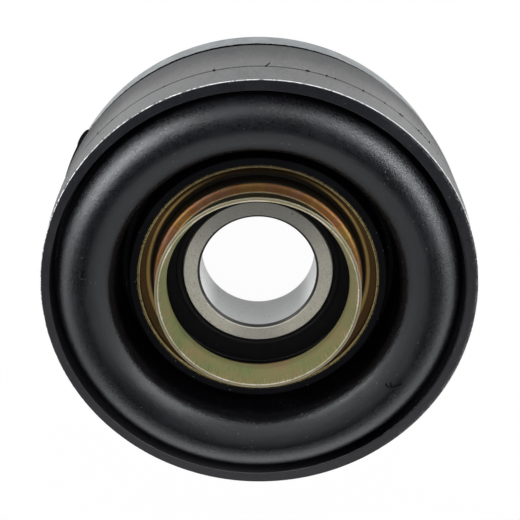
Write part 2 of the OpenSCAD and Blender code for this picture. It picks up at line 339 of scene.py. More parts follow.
# %% Run a tree and keep its mesh
def grown(name, points, tree, values, edges=()):
    """Runs a tree on points in metres, loose or joined, and keeps the result as a plain mesh object."""
    start = bpy.data.meshes.new(name)
    start.from_pydata(points, edges, [])
    piece = bpy.data.objects.new(name, start)
    bpy.context.scene.collection.objects.link(piece)
    modifier = piece.modifiers.new("tree", "NODES")
    modifier.node_group = tree
    for item in tree.interface.items_tree:
        if item.in_out == "INPUT" and item.name in values:
            modifier[item.identifier] = values[item.name]
    ready = piece.evaluated_get(bpy.context.evaluated_depsgraph_get())
    mesh = bpy.data.meshes.new_from_object(ready)
    piece.modifiers.clear()
    piece.data = mesh
    face_outwards(mesh)
    return piece


def face_outwards(mesh):
    shape = bmesh.new()
    shape.from_mesh(mesh)
    bmesh.ops.recalc_face_normals(shape, faces=shape.faces)
    shape.to_mesh(mesh)
    shape.free()


def turned(name, outline, finish, steps=288, uneven_mm=0.0, patch_mm=10.0, seed=0.0):
    points = [(spot.x * MM, 0, spot.y * MM) for spot in outline]
    values = {
        "Points in Section": len(points),
        "Steps Round": steps,
        "Unevenness": uneven_mm * MM,
        "Patch Size": patch_mm * MM,
        "Seed": seed,
        "Finish": finish,
    }
    piece = grown(name, points, lathe, values)
    print(name, "has", len(piece.data.polygons), "faces")
    return piece


def mirrored(outline, middle):
    return [Vector((spot.x, 2 * middle - spot.y)) for spot in outline]


print("what a tree grows is kept as a plain mesh")

# %% [markdown]
# ## Slightly off centre
# The front of the case lies a little to one side of the bearing, so the rim is narrow on the left and
# wide on the right. Radii up to the roll stay true, and so does the bare lip at the rear; the rest moves
# sideways by the amounts below.

# %% Move the ring and the rim sideways
RING_OFF = 0.35
TRUE_Z = 8.0
SHIFTED_Z = 14.0
SIDE_SHIFTS = [(0.0, 0.0), (50.7, 0.0), (51.5, -0.2), (52.2, RING_OFF), (99.0, RING_OFF)]


def side_shift(radius):
    for (low, first), (high, last) in zip(SIDE_SHIFTS, SIDE_SHIFTS[1:]):
        if radius <= high:
            return first + (last - first) * (radius - low) / (high - low)


def off_centre(piece):
    for vertex in piece.data.vertices:
        share = (vertex.co.z / MM - TRUE_Z) / (SHIFTED_Z - TRUE_Z)
        share = min(max(share, 0.0), 1.0)
        vertex.co.x += side_shift(vertex.co.xy.length / MM) * share * MM
    piece.data.update()


print("the front of the case sits", RING_OFF, "mm to the right")

# %% [markdown]
# ## Ridges and nicks
# Moulding leaves marks: a tab where the rubber ran over the lip, thin flash, flow lines and small nicks
# on the parting line. A ridge is a tube along a drawn path, tapered at both ends and half sunk in the
# surface. Nicks are small seeded blobs on given spots.

# %% Build the ridge tree and the nick tree
RIDGE_INPUTS = [
    ("Path", "NodeSocketGeometry"),
    ("Thickness", "NodeSocketFloat"),
    ("Finish", "NodeSocketMaterial"),
]
NICK_INPUTS = [
    ("Spots", "NodeSocketGeometry"),
    ("Size", "NodeSocketFloat"),
    ("Seed", "NodeSocketInt"),
    ("Finish", "NodeSocketMaterial"),
]


def build_ridge():
    bench, given = new_tree("ridge", RIDGE_INPUTS)
    path = bench.node("GeometryNodeMeshToCurve", sockets={"Mesh": given})
    share = bench.node("GeometryNodeSplineParameter", out="Factor")
    from_middle = bench.maths("ABSOLUTE", share * 2 - 1)
    taper = bench.maths("SQRT", 1.02 - bench.maths("POWER", from_middle, 6.0))
    tapered = bench.node("GeometryNodeSetCurveRadius", sockets={"Curve": path, "Radius": taper})
    ring = bench.node("GeometryNodeCurvePrimitiveCircle", {"mode": "RADIUS"},
                      {"Resolution": 14, "Radius": given.other("Thickness")}, "Curve")
    tube = bench.node("GeometryNodeCurveToMesh",
                      sockets={"Curve": tapered, "Profile Curve": ring, "Fill Caps": True})
    return end_tree(bench, tube, given.other("Finish"))


def build_nicks():
    bench, given = new_tree("nicks", NICK_INPUTS)
    seed = given.other("Seed")
    sockets = {"Radius": given.other("Size"), "Subdivisions": 2}
    blob = bench.node("GeometryNodeMeshIcoSphere", sockets=sockets, out="Mesh")
    turn = bench.node("FunctionNodeRandomValue", {"data_type": "FLOAT_VECTOR"},
                      {"Min": (0, 0, 0), "Max": (6.28, 6.28, 6.28), "Seed": seed}, "Value")
    stretch = bench.node("FunctionNodeRandomValue", {"data_type": "FLOAT_VECTOR"},
                         {"Min": (0.6, 0.6, 0.5), "Max": (1.7, 1.3, 1.0), "Seed": seed + 1}, "Value")
    placed = bench.node("GeometryNodeInstanceOnPoints",
                        sockets={"Points": given, "Instance": blob, "Rotation": turn, "Scale": stretch})
    return end_tree(bench, placed, given.other("Finish"))


ridge_tree = build_ridge()
nick_tree = build_nicks()
print("ridge and nick trees have", len(ridge_tree.nodes), "and", len(nick_tree.nodes), "nodes")


# %% Draw a ridge, scatter nicks
def ridge(name, path, thick_mm, finish):
    """A path is a list of spots in mm."""
    points = [tuple(Vector(spot) * MM) for spot in path]
    edges = [(k, k + 1) for k in range(len(points) - 1)]
    return grown(name, points, ridge_tree, {"Thickness": thick_mm * MM, "Finish": finish}, edges)


def nicks(name, spots, size_mm, seed, finish):
    points = [tuple(Vector(spot) * MM) for spot in spots]
    return grown(name, points, nick_tree, {"Size": size_mm * MM, "Seed": seed, "Finish": finish})


def round_spot(degrees, radius, height, aside=0.0):
    angle = math.radians(degrees)
    return (aside + radius * math.cos(angle), radius * math.sin(angle), height)


def lump(name, degrees, radius, height, reach, finish):
    """A smooth lump; its reach is along the radius, round the axis and along the axis, in mm."""
    shape = bmesh.new()
    bmesh.ops.create_uvsphere(shape, u_segments=48, v_segments=24, radius=1.0)
    sized = Matrix.Translation((radius, 0, height)) @ Matrix.Diagonal((*reach, 1))
    shape.transform(Matrix.Scale(MM, 4) @ Matrix.Rotation(math.radians(degrees), 4, "Z") @ sized)
    for face in shape.faces:
        face.smooth = True
    mesh = bpy.data.meshes.new(name)
    shape.to_mesh(mesh)
    shape.free()
    mesh.materials.append(finish)
    piece = bpy.data.objects.new(name, mesh)
    bpy.context.scene.collection.objects.link(piece)
    return piece


print("ridges, nicks and lumps are ready")

# %% [markdown]
# ## Finishes
# A finish is written in millimetres on the piece's own Object coordinates, so its grain has the size of
# the real grain. Patterns that run round the axis use the radius and the direction, not the angle
# itself, so that they have no seam.

# %% Start and end a finish
def new_finish(title):
    made = bpy.data.materials.new(title)
    made.use_nodes = True
    made.node_tree.nodes.clear()
    bench = Bench(made.node_tree)
    spot = bench.node("ShaderNodeTexCoord", out="Object")
    spot = bench.node("ShaderNodeVectorMath", {"operation": "SCALE"}, {0: spot, "Scale": 1 / MM})
    return made, bench, spot


def end_finish(bench, sockets):
    shader = bench.node("ShaderNodeBsdfPrincipled", sockets=sockets)
    bench.node("ShaderNodeOutputMaterial", sockets={"Surface": shader}, out=None)


def radius_and_direction(bench, spot, aside=0.0):
    """The distance from the axis, the height, and the direction from the axis as two numbers."""
    x, y, z = bench.split(spot)
    x = x - aside
    radius = bench.maths("SQRT", x * x + y * y)
    safe = bench.maths("MAXIMUM", radius, 0.01)
    return radius, z, x / safe, y / safe


def specks(bench, spot, spacing, size):
    """Sparse round specks: 1 on a speck, 0 off it."""
    sockets = {"Vector": spot, "Scale": 1 / spacing}
    away = bench.node("ShaderNodeTexVoronoi", {"feature": "F1"}, sockets, "Distance")
    return 1 - bench.rise(away, 0.6 * size / spacing, size / spacing)


def palette(**colours):
    return SimpleNamespace(**{name: (*colour, 1) for name, colour in colours.items()})


def bumped(bench, height, depth_mm):
    sockets = {"Strength": 1.0, "Distance": depth_mm * MM, "Height": height}
    return bench.node("ShaderNodeBump", sockets=sockets)


print("finishes are written in mm, of", MM, "m each")

# %% [markdown]
# ## Rubber finish
# Moulded rubber is black, but never one black: the skin is grey, with painted shade towards the rear and
# painted light on the front band; the rim's face has painted shade at the top and the groove painted light
# at the sides; the rim's cut edge is whitish, partly a real trimmed edge and partly a painted highlight; a
# fine grain breaks up the roll's highlights, and dust lies on all of it. It could be painted by hand on a
# UV map, but paint does not follow the sizes. So each zone is a mask by radius and height, and colour and
# roughness are mixed by zone. Black marks that must not shine get a second finish, without any gloss.

# %% Zones of the cushion
SKIN_R = 54.75
SKIN_Z = 12.0
PARTING_Z = 34.1
RIM_R = 54.25
RIM_Z = 44.5
RIM_IN = 51.5
ROLL_AT = (43.15, 39.7)
ROLL_R = 7.5
GROOVE_IN = ROLL_AT[0] + ROLL_R
FLANK_TOP = 40.5
FLANK_FOOT = 38.2
WALL_FOOT = 34.0
VALLEY_Z = 28.0
COLLAR_R = 32.8
COLLAR_Z = 36.75
SLEEVE_IN = 31.0


def rubber_zones(bench, spot):
    """Masks by name: 1 in a zone of the cushion, 0 elsewhere."""
    radius, z, across, up = radius_and_direction(bench, spot, RING_OFF)
    from_axis, _, _, _ = radius_and_direction(bench, spot)
    zone = SimpleNamespace(upper=bench.rise(up, -0.9, 0.9))
    zone.sides = bench.rise(bench.maths("ABSOLUTE", across), 0.6, 0.95)
    zone.lower_left = (1 - bench.rise(up, -0.65, -0.2)) * (1 - bench.rise(across, -0.6, -0.2))
    below_rim = 1 - bench.rise(z, RIM_Z - 0.4, RIM_Z - 0.2)
    zone.skin = bench.rise(radius, RIM_R - 0.25, RIM_R - 0.1) * below_rim
    zone.skin_height = bench.rise(z, SKIN_Z, PARTING_Z)
    # the front band of the skin, where painted light makes it lighter
    zone.front_band = bench.rise(z, PARTING_Z - 0.3, PARTING_Z)
    zone.parting_line = bench.near(z, PARTING_Z - 0.2, 0.25, 0.6) * zone.skin
    zone.rim = bench.rise(radius, RIM_IN - 0.3, RIM_IN + 0.1)
    rim_edge = bench.rise(radius, RIM_R - 0.16, RIM_R - 0.08)
    zone.rim_edge = rim_edge * bench.rise(z, RIM_Z - 0.34, RIM_Z - 0.24)
    zone.right_edge = bench.rise(radius, RIM_R - 1.0, RIM_R - 0.1) * bench.rise(across, 0.4, 0.85)
    # the groove, which gets painted light at the sides
    groove = bench.rise(radius, GROOVE_IN - 0.25, GROOVE_IN + 0.05)
    groove = groove * (1 - bench.rise(z, RIM_Z - 1.0, RIM_Z - 0.3))
    zone.groove = groove * (1 - zone.skin)
    above_valley = bench.rise(z, VALLEY_Z + 0.5, VALLEY_Z + 2.0)
    flank = bench.rise(from_axis, WALL_FOOT, WALL_FOOT + 1.0)
    zone.flank = flank * (1 - bench.rise(from_axis, FLANK_TOP + 0.5, FLANK_TOP + 3.5))
    matt = above_valley * bench.rise(from_axis, FLANK_FOOT - 1.6, FLANK_FOOT)
    zone.matt_flank = matt * (1 - bench.rise(from_axis, FLANK_TOP, FLANK_TOP + 3.0))
    wall = above_valley * bench.rise(from_axis, WALL_FOOT, WALL_FOOT + 0.5)
    zone.wall = wall * (1 - bench.rise(from_axis, FLANK_FOOT - 1.8, FLANK_FOOT))
    collar = bench.rise(z, COLLAR_Z - 1.75, COLLAR_Z - 1.25)
    zone.collar = collar * (1 - bench.rise(from_axis, COLLAR_R + 0.2, COLLAR_R + 0.6))
    lip = bench.rise(z, COLLAR_Z - 1.15, COLLAR_Z - 0.75)
    zone.collar_lip = lip * (1 - bench.rise(from_axis, SLEEVE_IN - 0.4, SLEEVE_IN))
    return zone, across


print("the cushion's rim is", round(RIM_R - RIM_IN, 2), "mm wide, its groove", round(RIM_IN - GROOVE_IN, 2))


# %% Colours of the cushion
RUBBER = palette(
    black=(0.0018, 0.0018, 0.0030),
    dusty_black=(0.0045, 0.0045, 0.0065),
    # the rim's face, with painted shade that makes it darker towards the top
    lower_rim=(0.024, 0.023, 0.026),
    upper_rim=(0.003, 0.003, 0.005),
    # painted light: the groove lighter at the sides
    groove=(0.035, 0.034, 0.040),
    # painted shade and light on the skin: darker towards the rear, lighter on the front band
    rear_skin=(0.006, 0.006, 0.007),
    front_skin=(0.045, 0.044, 0.045),
    front_band=(0.075, 0.075, 0.077),
    mottled_skin=(0.055, 0.053, 0.052),
    parting_line=(0.003, 0.003, 0.004),
    # the trimmed outer edge of the rim: partly its real lighter cut, partly a painted highlight
    cut=(0.85, 0.87, 0.88),
    gilt=(0.16, 0.13, 0.05),
    grain=(0.009, 0.009, 0.010),
    dust=(0.20, 0.20, 0.20),
)


def rubber_colour(bench, spot, zone, grain, mottle, dusty, cut):
    colour = bench.blend(dusty, RUBBER.black, RUBBER.dusty_black)
    # painted shade: the rim's face darker towards the top
    rim_face = bench.blend(zone.upper, RUBBER.lower_rim, RUBBER.upper_rim)
    colour = bench.blend(zone.rim, colour, rim_face)
    # painted light in the groove at the sides
    colour = bench.blend(zone.groove * zone.sides, colour, RUBBER.groove)
    # the skin: painted shade towards the rear, painted light on the front band, and a random mottle
    skin_shade_and_mottle = bench.blend(zone.skin_height, RUBBER.rear_skin, RUBBER.front_skin)
    skin_shade_and_mottle = bench.blend(zone.front_band, skin_shade_and_mottle, RUBBER.front_band)
    skin_shade_and_mottle = bench.blend(bench.rise(mottle, 0.25, 0.75) * 0.3, skin_shade_and_mottle, RUBBER.mottled_skin)
    colour = bench.blend(zone.skin, colour, skin_shade_and_mottle)
    broken = bench.rise(bench.noise(spot, 0.35, 3.0, 0.6), 0.36, 0.52)
    colour = bench.blend(zone.parting_line * broken, colour, RUBBER.parting_line)
    # the cut edge, partly real and partly a painted highlight
    colour = bench.blend(cut, colour, RUBBER.cut)
    colour = bench.blend(zone.collar_lip * bench.rise(grain, 0.54, 0.62), colour, RUBBER.gilt)
    colour = bench.blend(zone.flank * bench.rise(grain, 0.48, 0.66) * 0.8, colour, RUBBER.grain)
    colour = bench.blend(specks(bench, spot, 1.9, 0.14) * 0.8, colour, RUBBER.dust)
    edge_dust = zone.right_edge * bench.rise(grain, 0.46, 0.56)
    return bench.blend(edge_dust * 0.75, colour, RUBBER.dust)


print("the cushion has", len(vars(RUBBER)), "colours")


# %% Mix the rubber finishes
def rubber_finish():
    made, bench, spot = new_finish("moulded rubber")
    zone, across = rubber_zones(bench, spot)
    cloud = bench.noise(spot, 0.09, 3.0, 0.6)
    grain = bench.noise(spot, 1.9, 4.0, 0.8)
    mottle = bench.noise(spot, 0.8, 3.0, 0.65)
    dusty = bench.rise(cloud + (mottle - 0.5) * 0.4, 0.42, 0.8)
    ragged = bench.rise(bench.noise(spot, 1.7, 3.0, 0.7) + across * 0.08, 0.36, 0.52)
    # the rim's ragged cut edge, which also carries a painted highlight
    cut = zone.rim_edge * ragged
    rough = 0.30 + dusty * 0.08 + (grain - 0.5) * 0.6 + zone.rim * 0.06 + cut * 0.3
    rough = rough + zone.matt_flank * (1 - zone.lower_left * 0.65) * 0.3 - zone.wall * 0.14
    worn_rough = (1 - zone.skin_height) * 0.2 + zone.sides * 0.3
    rough = rough + zone.skin * worn_rough - zone.collar * 0.36
    end_finish(bench, {
        "Base Color": rubber_colour(bench, spot, zone, grain, mottle, dusty, cut),
        "Roughness": rough,
        "Normal": bumped(bench, (grain + mottle * 0.5) * (1 - zone.collar * 0.65), 0.085),
        "Specular IOR Level": 0.78,
        "Specular Tint": (0.93, 0.97, 1.0, 1),
    })
    return made


def flash_finish():
    made, bench, spot = new_finish("rubber flash")
    grain = bench.noise(spot, 3.0, 2.0, 0.6)
    colour = bench.blend(grain, (0.003, 0.003, 0.004, 1), (0.009, 0.009, 0.010, 1))
    end_finish(bench, {"Base Color": colour, "Roughness": 0.6 + grain * 0.2, "Specular IOR Level": 0.0})
    return made


moulded_rubber = rubber_finish()
rubber_flash = flash_finish()
print("the rubber finish has", len(moulded_rubber.node_tree.nodes), "nodes")

# %% [markdown]
# ## Bare steel
# The ring's lip is bare rolled steel: dull, blotched, with faint lines. A photograph of steel could be laid
# on it, but noise needs no file and keeps its grain at any distance. Stretched noise gives the lines, and
# broad noise the blotches.

# %% Bare steel of the outer ring
def bare_steel_finish():
    made, bench, spot = new_finish("bare steel")
    _, z, across, up = radius_and_direction(bench, spot)
    streak = bench.noise(bench.join(across * 6, up * 6, z * 1.8), 1.0, 3.0, 0.6)
    blotch = bench.noise(spot, 0.22, 3.0, 0.6)
    colour = bench.blend(bench.rise(blotch, 0.35, 0.7), (0.25, 0.275, 0.285, 1), (0.36, 0.38, 0.39, 1))
    rough = 0.42 + blotch * 0.14 + (streak - 0.5) * 0.2
    normal = bumped(bench, streak, 0.010)
    end_finish(bench, {"Base Color": colour, "Metallic": 0.8, "Roughness": rough, "Normal": normal})
    return made


bare_steel = bare_steel_finish()
print("bare steel has", len(bare_steel.node_tree.nodes), "nodes")

# %% [markdown]
# ## Yellow plating
# The shields are pressed from sheet and passivated yellow: a thin film that drifts from gold to brown and
# green, with fine lines along the draw. Painted shade makes the trough's foot nearly black and the top
# darker, the neck is dark, and the rim's lines, the bright line on the trough's slope and a pale line on
# the bend above the shoulder are painted highlights. One flat gold would look like paint, and a film whose
# thickness varies could not be baked. So a ramp of colours on slow noise gives the drift, fast noise round
# the axis the lines, and masks the neck, the trough, the rim and the cut edge.

# %% Sizes and colours of the shields
MID_Z = 23.2
HALF_W = 8.0
BRIM_R = 30.5
BRIM_H = 5.3
SLOPE_R = 27.9
WALL_R = 26.1
SHOULDER_H = 6.0
FLARE_FROM = (23.6, 9.3)
FLARE_TO = (25.15, 14.8)
MOUTH_H = FLARE_TO[1]
OUTER_DRIFT = [
    (0.0, (0.44, 0.34, 0.10)),
    (0.25, (0.46, 0.27, 0.08)),
    (0.5, (0.40, 0.17, 0.055)),
    (0.75, (0.44, 0.22, 0.14)),
    (1.0, (0.42, 0.36, 0.14)),
]
INNER_DRIFT = [
    (0.0, (0.12, 0.16, 0.06)),
    (0.3, (0.20, 0.24, 0.10)),
    (0.55, (0.27, 0.25, 0.11)),
    (0.8, (0.30, 0.19, 0.10)),
    (1.0, (0.46, 0.38, 0.20)),
]
PLATING = palette(
    # painted shade: the outside of a shield darker towards the top
    burnt=(0.08, 0.035, 0.012),
    # a painted highlight on the bend above the shoulder
    pale_line=(0.30, 0.32, 0.22),
    neck=(0.008, 0.012, 0.008),
    brown=(0.12, 0.075, 0.026),
    red_brown=(0.19, 0.10, 0.042),
    shaded_brown=(0.012, 0.007, 0.004),
    # painted shade: the trough's foot nearly black
    trough=(0.012, 0.010, 0.007),
    glint=(0.78, 0.52, 0.18),
    rim=(0.055, 0.042, 0.020),
    # painted highlights on the rim's edges
    rim_line=(0.46, 0.37, 0.16),
    green_cream=(0.40, 0.40, 0.26),
    cream=(0.62, 0.59, 0.48),
    cut_edge=(0.20, 0.125, 0.08),
)


def plating_places(bench, spot):
    """Where a spot lies on a shield, by name, with the two noises that all of its colours share."""
    radius, z, across, up = radius_and_direction(bench, spot)
    height = bench.maths("ABSOLUTE", z - MID_Z) - HALF_W
    slope = (FLARE_TO[0] - FLARE_FROM[0]) / (FLARE_TO[1] - FLARE_FROM[1])
    middle = bench.maths("MAXIMUM", height - FLARE_FROM[1], 0.0) * slope + FLARE_FROM[0]
    return SimpleNamespace(
        radius=radius,
        height=height,
        right=bench.rise(across, -0.3, 0.4),
        upper=bench.rise(up, 0.4, 0.95),
        top=bench.rise(up, 0.55, 1.0),
        inside=bench.rise(middle - radius, -0.15, 0.15),
        drift=bench.noise(bench.join(across * 3.0, up * 3.0, height * 0.12), 1.0, 3.0, 0.6),
        draw=bench.noise(bench.join(across * 80, up * 80, height * 0.22), 1.0, 3.0, 0.75),
    )


print("a shield's mouth stands", MOUTH_H, "mm off the bearing's face")


# %% Mix the plating
def flare_colour(bench, at):
    """The shoulder and the flare: one drift of colours outside, another inside."""
    tint = at.drift * 2.2 - 0.6 + (at.draw - 0.5) * 0.6
    streak = at.drift * 1.2 - 0.14 + at.right * 0.12
    streak = streak + (at.draw - 0.5) * (1.5 + bench.rise(at.height, MOUTH_H - 3.8, MOUTH_H) * 2.4)
    outside = bench.node("ShaderNodeValToRGB", {"stops": OUTER_DRIFT}, {0: tint}, "Color")
    within = bench.node("ShaderNodeValToRGB", {"stops": INNER_DRIFT}, {0: streak}, "Color")
    # painted shade towards the top
    outside = bench.blend(at.top * 0.8, outside, PLATING.burnt)
    # a painted highlight: a pale line on the bend above the shoulder
    above_shoulder = bench.rise(at.height, SHOULDER_H + 0.55, SHOULDER_H + 0.7)
    outside = bench.blend(above_shoulder, outside, PLATING.pale_line)
    neck = bench.rise(at.height, SHOULDER_H + 0.9, SHOULDER_H + 1.2)
    neck = neck * (1 - bench.rise(at.height, MOUTH_H - 0.4, MOUTH_H - 0.1))
    outside = bench.blend(neck * 0.97, outside, PLATING.neck)
    return bench.blend(at.inside, outside, within)


def trough_colour(bench, at):
    """Brown, with painted shade that makes it nearly black at the trough's foot and at the top, and one
    painted highlight: a bright line on the slope.
    """
    brown = bench.blend(at.drift, PLATING.brown, PLATING.red_brown)
    brown = bench.blend(at.upper * 0.85, brown, PLATING.shaded_brown)
    # painted shade at the trough's foot
    brown = bench.blend(1 - bench.rise(at.radius, SLOPE_R - 0.6, SLOPE_R), brown, PLATING.trough)
    glint = bench.near(at.radius, SLOPE_R + 0.25, 0.15, 0.55)
    return bench.blend(glint * (1 - at.top), brown, PLATING.glint)


def rim_highlight_lines(bench, at):
    """Two thin broken painted highlights on the rim's edges, dimmed at the top by painted shade."""
    inner_line = bench.near(at.radius, BRIM_R - 0.36, 0.06, 0.16)
    middle_line = bench.near(at.radius, BRIM_R, 0.03, 0.08)
    lines = bench.maths("MAXIMUM", inner_line, middle_line)
    return lines * bench.rise(at.draw, 0.35, 0.5) * (1 - at.top * 0.7)


def mouth_colour(bench, at):
    """The cut edge of the mouth: cream on its inner half, brown on the outer."""
    inner_half = 1 - bench.rise(at.radius, FLARE_TO[0] - 0.30, FLARE_TO[0] - 0.10)
    cream = bench.blend(bench.rise(at.drift, 0.4, 0.6), PLATING.green_cream, PLATING.cream)
    return bench.blend(inner_half * bench.rise(at.draw, 0.30, 0.48), PLATING.cut_edge, cream)


def plating_finish():
    made, bench, spot = new_finish("yellow plating")
    at = plating_places(bench, spot)
    low_part = 1 - bench.rise(at.height, SHOULDER_H - 0.2, SHOULDER_H + 0.3)
    low_part = low_part * bench.rise(at.radius, WALL_R - 1.1, WALL_R - 0.3)
    rim = bench.rise(at.radius, BRIM_R - 0.65, BRIM_R - 0.45)
    rim = rim * bench.rise(at.height, BRIM_H - 0.7, BRIM_H - 0.2)
    cut_edge = bench.rise(at.height, MOUTH_H - 0.12, MOUTH_H + 0.05)
    colour = bench.blend(low_part, flare_colour(bench, at), trough_colour(bench, at))
    colour = bench.blend(rim, colour, PLATING.rim)
    # painted highlights on the rim's edges
    colour = bench.blend(rim * rim_highlight_lines(bench, at), colour, PLATING.rim_line)
    end_finish(bench, {
        "Base Color": bench.blend(cut_edge, colour, mouth_colour(bench, at)),
        "Metallic": 0.55 - at.inside * 0.13 - low_part * 0.38 - rim * 0.33 + (at.draw - 0.5) * 0.3,
        "Roughness": 0.40 + at.inside * 0.06 + (at.draw - 0.5) * 0.2 + at.drift * 0.06,
        "Normal": bumped(bench, at.draw, 0.003),
        "Specular IOR Level": 0.3,
    })
    return made


yellow_plating = plating_finish()
print("the plating has", len(yellow_plating.node_tree.nodes), "nodes")

# %% [markdown]
# ## Bearing steel and seals
# The inner ring is ground: fine lines round the axis, a few dark specks and a dark chamfer. Its face has
# painted shade at the top and bottom, its bore painted highlights at the sides, and a painted highlight
# runs beside the chamfer.
# Anisotropic gloss could stretch its highlights, but here the lines themselves show, so they are noise in
# colour, gloss and bump. The seals are dull rubber, and the balls and the cage are clean, bright steel.

# %% Ground steel of the bearing rings
BORE_R = 15.0
CHAMFER = 0.65
CHAMFER_R = BORE_R + CHAMFER
STEEL = palette(
    dark=(0.58, 0.56, 0.49),
    light=(0.72, 0.70, 0.63),
    line=(0.38, 0.36, 0.32),
    sand=(0.30, 0.27, 0.22),
    shade=(0.24, 0.24, 0.235),
    bore=(0.50, 0.51, 0.52),
    # a painted highlight on the bore at the sides
    bright_bore=(0.92, 0.94, 0.95),
    chamfer=(0.012, 0.012, 0.012),
    # a painted highlight on the edge beside the chamfer
    bright_edge=(0.92, 0.88, 0.78),
    speck=(0.03, 0.03, 0.03),
)


def ground_steel_finish():
    made, bench, spot = new_finish("ground steel")
    radius, z, across, up = radius_and_direction(bench, spot)
    lines = bench.noise(bench.join(across * 5, up * 5, radius * 9 + z * 9), 1.0, 2.0, 0.7)
    cloud = bench.noise(spot, 0.35, 3.0, 0.6)
    sand = bench.noise(spot, 3.0, 2.0, 0.7)
    colour = bench.blend(cloud, STEEL.dark, STEEL.light)
    colour = bench.blend((lines - 0.3) * 0.6, colour, STEEL.line)
    colour = bench.blend(bench.rise(sand, 0.48, 0.68) * 0.5, colour, STEEL.sand)
    shade = bench.rise(up, 0.2, 0.85) + (1 - bench.rise(up, -1.0, -0.86)) * 0.8
    colour = bench.blend(shade * 0.6, colour, STEEL.shade)
    sides = bench.rise(bench.maths("ABSOLUTE", across), 0.70, 0.97)
    bore = 1 - bench.rise(radius, BORE_R + 0.02, BORE_R + 0.1)
    # the bore, with painted highlights at the sides
    colour = bench.blend(bore, colour, bench.blend(sides, STEEL.bore, STEEL.bright_bore))
    depth = HALF_W - bench.maths("ABSOLUTE", z - MID_Z)
    chamfer = 1 - bench.rise(depth, CHAMFER - 0.05, CHAMFER + 0.05)
    chamfer = chamfer * (1 - bench.rise(radius, CHAMFER_R - 0.07, CHAMFER_R + 0.01))
    colour = bench.blend(chamfer, colour, STEEL.chamfer)
    # a painted highlight beside the chamfer, left out at the bottom
    chamfer_highlight_mask = bench.near(radius, CHAMFER_R + 0.15, 0.06, 0.14) * (1 - bench.rise(up, -0.8, -0.4))
    colour = bench.blend(chamfer_highlight_mask, colour, STEEL.bright_edge)
    cluster = bench.rise(bench.noise(spot, 0.16, 2.0, 0.5) - across * 0.12 - up * 0.06, 0.42, 0.6)
    small_specks = specks(bench, spot, 1.1, 0.17) * cluster
    large_specks = specks(bench, spot, 3.4, 0.26) * bench.rise(cloud, 0.45, 0.55)
    specked = bench.maths("MAXIMUM", small_specks, large_specks)
    end_finish(bench, {
        "Base Color": bench.blend(specked * 0.9, colour, STEEL.speck),
        "Metallic": 0.38 * (1 - specked) * (1 - chamfer),
        "Roughness": 0.44 + (lines - 0.5) * 0.18 + specked * 0.3,
        "Normal": bumped(bench, lines, 0.004),
    })
    return made


ground_steel = ground_steel_finish()
print("ground steel has", len(ground_steel.node_tree.nodes), "nodes")


# %% Seal rubber, ball steel and cage steel
def seal_finish():
    made, bench, spot = new_finish("seal rubber")
    grain = bench.noise(spot, 4.0, 2.0, 0.6)
    cloud = bench.noise(spot, 0.3, 2.0, 0.5)
    colour = bench.blend(cloud, (0.0025, 0.0025, 0.003, 1), (0.006, 0.006, 0.007, 1))
    dust = specks(bench, spot, 3.2, 0.12)
    colour = bench.blend(dust * 0.5, colour, (0.12, 0.12, 0.12, 1))
    rough = 0.50 + (grain - 0.5) * 0.15
    end_finish(bench, {
        "Base Color": colour,
        "Roughness": rough,
        "Normal": bumped(bench, grain, 0.006),
        "Specular IOR Level": 0.22,
    })
    return made


def ball_finish():
    made, bench, spot = new_finish("polished ball steel")
    haze = bench.noise(spot, 0.8, 3.0, 0.6)
    colour = bench.blend(haze, (0.60, 0.60, 0.60, 1), (0.70, 0.70, 0.69, 1))
    end_finish(bench, {"Base Color": colour, "Metallic": 1.0, "Roughness": 0.06 + haze * 0.06})
    return made


def cage_finish():
    made, bench, spot = new_finish("pressed cage steel")
    haze = bench.noise(spot, 0.6, 3.0, 0.6)
    fine = bench.noise(spot, 5.0, 2.0, 0.6)
    colour = bench.blend(haze, (0.46, 0.46, 0.45, 1), (0.60, 0.60, 0.58, 1))
    end_finish(bench, {
        "Base Color": colour,
        "Metallic": 1.0,
        "Roughness": 0.26 + fine * 0.16,
        "Normal": bumped(bench, fine, 0.004),
    })
    return made


seal_rubber = seal_finish()
ball_steel = ball_finish()
cage_steel = cage_finish()
print("finishes:", [finish.name for finish in bpy.data.materials if finish.node_tree])

# %% [markdown]
# ## Outer ring
# A rolled steel ring carries the rubber. Only its rear lip shows: the rest is a band, set in by a
# joggle, that the rubber is moulded round. The packed solid could stay, but it is made of loose flat
# triangles; eight corners with their rounds, on the lathe, give smooth edges that catch the light.

# %% Turn the outer ring
LIP_IN = 52.93
LIP_R = 54.13
LIP_TOP = 8.1
BAND_IN = 52.25
BAND_R = 53.45
BAND_BASE = 9.6
BAND_TOP = 42.5
ring_corners = [
    (LIP_IN, 0.0, 0.25),
    (LIP_R, 0.0, 0.4),
    (LIP_R, LIP_TOP, 0.9),
    (BAND_R, BAND_BASE, 0.5),
    (BAND_R, BAND_TOP, 0.2),
    (BAND_IN, BAND_TOP, 0.2),
    (BAND_IN, BAND_BASE, 0.9),
    (LIP_IN, LIP_TOP, 0.5),
]
outer_ring = turned("steel_outer_ring", rounded_outline(ring_corners), bare_steel, 360)
off_centre(outer_ring)
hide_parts("outer_ring")
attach(outer_ring, "housing")

# %% [markdown]
# ## Rubber cushion
# The cushion is moulded in one go between the outer ring and the sleeve: a thin skin outside, a rim, a
# groove, the fat roll that flexes, a valley and a collar. Behind, the roll is hollow. It could be sculpted,
# but its section is all arcs and straights, so it is one closed outline on the lathe, with a little
# unevenness that keeps the highlights alive.

